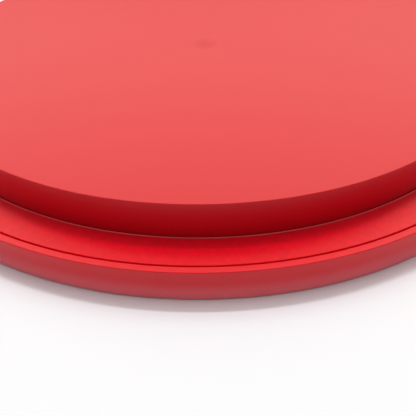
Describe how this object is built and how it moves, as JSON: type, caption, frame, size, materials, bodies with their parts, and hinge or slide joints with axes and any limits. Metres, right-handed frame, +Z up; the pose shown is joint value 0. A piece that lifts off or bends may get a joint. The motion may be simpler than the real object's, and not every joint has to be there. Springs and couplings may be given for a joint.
{
  "type": "disc golf basket",
  "caption": "Drum-shaped disc golf target, packed closed: a shallow tub tray and a drum canopy that rises on nested mast sleeves, drawing up its chains, with lock bolts and a carry handle.",
  "frame": {"origin": "centre of the foot under the mast, on the ground", "axes": "+Z up along the mast, +Y towards the carry handle at the back, +X to the right"},
  "size_m": [0.6299, 0.693, 0.0555],
  "materials": {
    "tub_plastic": "satin moulded red plastic",
    "deck_plastic": "fine grained red plastic",
    "canopy_plastic": "satin moulded red plastic",
    "mast_plastic": "satin red plastic",
    "nylon": "moulded black nylon",
    "zinc": "bright zinc plated steel",
    "chain_steel": "galvanised chain and wire",
    "foot_rubber": "matt black rubber",
    "grip_rubber": "ribbed black rubber"
  },
  "bodies": {
    "base": {"base_tub": "tub_plastic", "deck_ring": "deck_plastic", "deck_screws": "zinc", "edge_feet": "foot_rubber", "foot_screws": "zinc", "centre_foot": "foot_rubber", "canopy_pads": "foot_rubber", "mast_socket": "mast_plastic", "socket_rivets": "zinc", "chain_anchor_ring": "chain_steel", "anchor_clips": "nylon", "lock_guides": "nylon", "guide_screws": "zinc", "handle_brackets": "nylon", "bracket_rivets": "zinc", "handle_pins": "zinc", "outer_chains": "chain_steel", "inner_chains": "chain_steel"},
    "canopy": {"canopy_shell": "canopy_plastic", "canopy_post": "mast_plastic", "post_screws": "zinc", "outer_hoop": "chain_steel", "inner_hoop": "chain_steel", "hoop_clips": "nylon", "chain_hooks": "chain_steel"},
    "lock_right": {"lock_bolt_right": "zinc", "lock_knob_right": "nylon"},
    "lock_left": {"lock_bolt_left": "zinc", "lock_knob_left": "nylon"},
    "handle": {"handle_bail": "zinc", "handle_grip": "grip_rubber"},
    "sleeve_01": {"mast_sleeve_01": "mast_plastic"},
    "sleeve_02": {"mast_sleeve_02": "mast_plastic"},
    "sleeve_03": {"mast_sleeve_03": "mast_plastic"},
    "sleeve_04": {"mast_sleeve_04": "mast_plastic"},
    "sleeve_05": {"mast_sleeve_05": "mast_plastic"},
    "sleeve_06": {"mast_sleeve_06": "mast_plastic"},
    "sleeve_07": {"mast_sleeve_07": "mast_plastic"},
    "sleeve_08": {"mast_sleeve_08": "mast_plastic"},
    "sleeve_09": {"mast_sleeve_09": "mast_plastic"},
    "sleeve_10": {"mast_sleeve_10": "mast_plastic"},
    "sleeve_11": {"mast_sleeve_11": "mast_plastic"}
  },
  "joints": [
    {"name": "canopy_lift", "type": "slide", "parent": "base", "child": "canopy", "axis": [0, 0, 1], "range_m": [0, 0.3624], "deforming": ["outer_chains", "inner_chains"]},
    {"name": "sleeve_slide_01", "type": "slide", "parent": "base", "child": "sleeve_01", "axis": [0, 0, 1], "range_m": [0, 0.03021]},
    {"name": "sleeve_slide_02", "type": "slide", "parent": "base", "child": "sleeve_02", "axis": [0, 0, 1], "range_m": [0, 0.06041]},
    {"name": "sleeve_slide_03", "type": "slide", "parent": "base", "child": "sleeve_03", "axis": [0, 0, 1], "range_m": [0, 0.09061]},
    {"name": "sleeve_slide_04", "type": "slide", "parent": "base", "child": "sleeve_04", "axis": [0, 0, 1], "range_m": [0, 0.12081]},
    {"name": "sleeve_slide_05", "type": "slide", "parent": "base", "child": "sleeve_05", "axis": [0, 0, 1], "range_m": [0, 0.15101]},
    {"name": "sleeve_slide_06", "type": "slide", "parent": "base", "child": "sleeve_06", "axis": [0, 0, 1], "range_m": [0, 0.18121]},
    {"name": "sleeve_slide_07", "type": "slide", "parent": "base", "child": "sleeve_07", "axis": [0, 0, 1], "range_m": [0, 0.21141]},
    {"name": "sleeve_slide_08", "type": "slide", "parent": "base", "child": "sleeve_08", "axis": [0, 0, 1], "range_m": [0, 0.24161]},
    {"name": "sleeve_slide_09", "type": "slide", "parent": "base", "child": "sleeve_09", "axis": [0, 0, 1], "range_m": [0, 0.27181]},
    {"name": "sleeve_slide_10", "type": "slide", "parent": "base", "child": "sleeve_10", "axis": [0, 0, 1], "range_m": [0, 0.30201]},
    {"name": "sleeve_slide_11", "type": "slide", "parent": "base", "child": "sleeve_11", "axis": [0, 0, 1], "range_m": [0, 0.33221]},
    {"name": "handle_swing", "type": "hinge", "parent": "base", "child": "handle", "pos_m": [0, 0.327, 0.017], "axis": [1, 0, 0], "range_deg": [0, 80]},
    {"name": "lock_slide_right", "type": "slide", "parent": "base", "child": "lock_right", "axis": [-1, 0, 0], "range_m": [0, 0.008]},
    {"name": "lock_slide_left", "type": "slide", "parent": "base", "child": "lock_left", "axis": [1, 0, 0], "range_m": [0, 0.008]}
  ],
  "couplings": [
    {"joint": "sleeve_slide_01", "follows": "canopy_lift", "ratio": 0.083333},
    {"joint": "sleeve_slide_02", "follows": "canopy_lift", "ratio": 0.16667},
    {"joint": "sleeve_slide_03", "follows": "canopy_lift", "ratio": 0.25},
    {"joint": "sleeve_slide_04", "follows": "canopy_lift", "ratio": 0.33333},
    {"joint": "sleeve_slide_05", "follows": "canopy_lift", "ratio": 0.41667},
    {"joint": "sleeve_slide_06", "follows": "canopy_lift", "ratio": 0.5},
    {"joint": "sleeve_slide_07", "follows": "canopy_lift", "ratio": 0.58333},
    {"joint": "sleeve_slide_08", "follows": "canopy_lift", "ratio": 0.66667},
    {"joint": "sleeve_slide_09", "follows": "canopy_lift", "ratio": 0.75},
    {"joint": "sleeve_slide_10", "follows": "canopy_lift", "ratio": 0.83333},
    {"joint": "sleeve_slide_11", "follows": "canopy_lift", "ratio": 0.91667}
  ]
}
